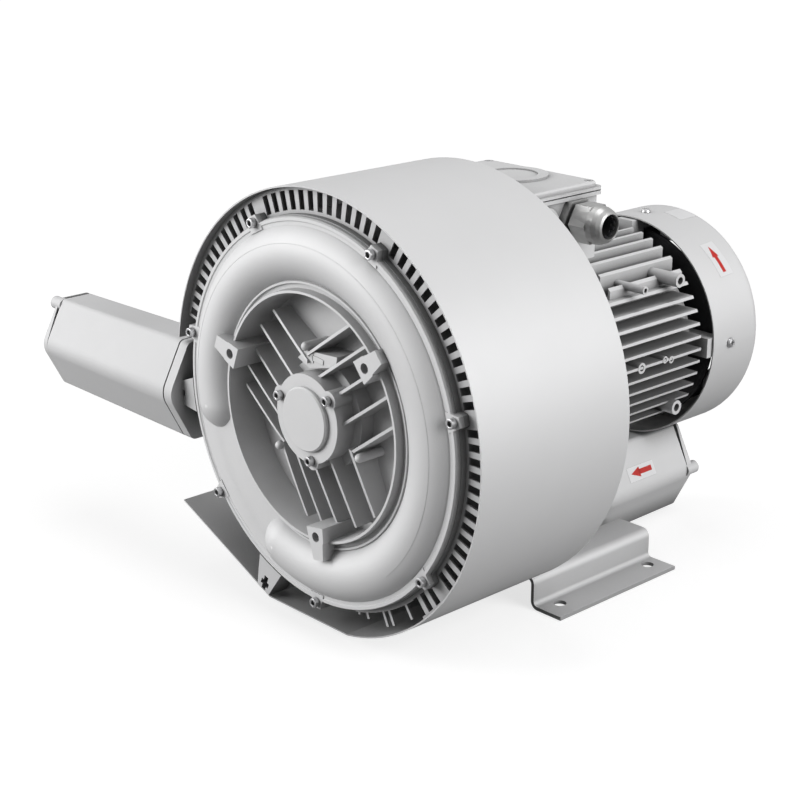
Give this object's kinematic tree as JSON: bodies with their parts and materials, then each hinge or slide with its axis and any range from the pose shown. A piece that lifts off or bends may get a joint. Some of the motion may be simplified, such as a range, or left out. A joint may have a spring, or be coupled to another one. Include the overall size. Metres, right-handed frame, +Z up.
{
  "type": "side channel blower",
  "caption": "Two-stage side channel blower with its own motor, hooded casing, silencers, feet and terminal box.",
  "frame": {"origin": "centre of the rectangle of the foot holes, on the underside of the feet", "axes": "+Z up, +Y along the shaft from the ribbed cover to the fan end, +X to the right seen from the cover"},
  "size_m": [0.7041, 0.568, 0.461],
  "materials": {
    "cast_aluminium": "silver, fine sand-blast texture, satin",
    "machined_aluminium": "bare cast, satin",
    "silver_sheet": "silver coat, satin",
    "zinc_steel": "zinc plated",
    "shaft_steel": "ground",
    "bearing_steel": "polished",
    "core_steel": "dull laminations",
    "copper_windings": "lacquered copper",
    "fan_plastic": "matt",
    "board_plastic": "matt",
    "nickel_brass": "nickel plated",
    "black_rubber": "matt",
    "absorber_foam": "open foam"
  },
  "bodies": {
    "blower": {"front_cover": "cast_aluminium", "bearing_cap": "cast_aluminium", "bearing_cap_screws": "zinc_steel", "cover_screws": "zinc_steel", "mid_housing": "cast_aluminium", "rear_housing": "cast_aluminium", "rear_casing_screws": "zinc_steel", "shaft_seals": "black_rubber", "front_bearing_outer": "bearing_steel", "drive_bearing_outer": "bearing_steel", "fan_bearing_outer": "bearing_steel", "motor_housing": "cast_aluminium", "motor_flange_screws": "zinc_steel", "stator_core": "core_steel", "stator_windings": "copper_windings", "rear_end_shield": "cast_aluminium", "end_shield_screws": "zinc_steel", "wave_washer": "zinc_steel", "fan_cover": "silver_sheet", "fan_cover_screws": "zinc_steel", "terminal_box": "cast_aluminium", "lid_gasket": "black_rubber", "terminal_box_lid": "cast_aluminium", "lid_screws": "zinc_steel", "terminal_board": "board_plastic", "gland_body": "nickel_brass", "gland_nut": "nickel_brass", "gland_seal": "black_rubber", "blanking_plug": "cast_aluminium", "hood": "silver_sheet", "hood_brackets": "zinc_steel", "grille_ring": "silver_sheet", "left_silencer_body": "cast_aluminium", "left_silencer_cap": "cast_aluminium", "left_silencer_liner": "absorber_foam", "left_gasket": "black_rubber", "rear_silencer_body": "cast_aluminium", "rear_silencer_cap": "cast_aluminium", "rear_silencer_liner": "absorber_foam", "rear_gasket": "black_rubber", "silencer_screws": "zinc_steel", "right_foot": "silver_sheet", "left_foot": "silver_sheet", "foot_screws": "zinc_steel"},
    "rotor": {"shaft": "shaft_steel", "impeller_stage_1": "machined_aluminium", "impeller_stage_2": "machined_aluminium", "impeller_keys": "zinc_steel", "spacer_sleeves": "shaft_steel", "shaft_lock_ring": "zinc_steel", "rotor_core": "core_steel", "cooling_fan": "fan_plastic", "fan_retaining_ring": "zinc_steel", "front_bearing_inner": "bearing_steel", "drive_bearing_inner": "bearing_steel", "fan_bearing_inner": "bearing_steel"},
    "front_cage": {"front_bearing_balls": "bearing_steel"},
    "drive_cage": {"drive_bearing_balls": "bearing_steel"},
    "fan_cage": {"fan_bearing_balls": "bearing_steel"}
  },
  "joints": [
    {"name": "rotor_spin", "type": "hinge", "parent": "blower", "child": "rotor", "pos_m": [0, -0.2, 0.236], "axis": [0, 1, 0], "continuous": true},
    {"name": "front_cage_spin", "type": "hinge", "parent": "blower", "child": "front_cage", "pos_m": [0, -0.2945, 0.236], "axis": [0, 1, 0], "continuous": true},
    {"name": "drive_cage_spin", "type": "hinge", "parent": "blower", "child": "drive_cage", "pos_m": [0, -0.1065, 0.236], "axis": [0, 1, 0], "continuous": true},
    {"name": "fan_cage_spin", "type": "hinge", "parent": "blower", "child": "fan_cage", "pos_m": [0, 0.1495, 0.236], "axis": [0, 1, 0], "continuous": true}
  ],
  "couplings": [
    {"joint": "front_cage_spin", "follows": "rotor_spin", "ratio": 0.369},
    {"joint": "drive_cage_spin", "follows": "rotor_spin", "ratio": 0.3784},
    {"joint": "fan_cage_spin", "follows": "rotor_spin", "ratio": 0.3784}
  ]
}
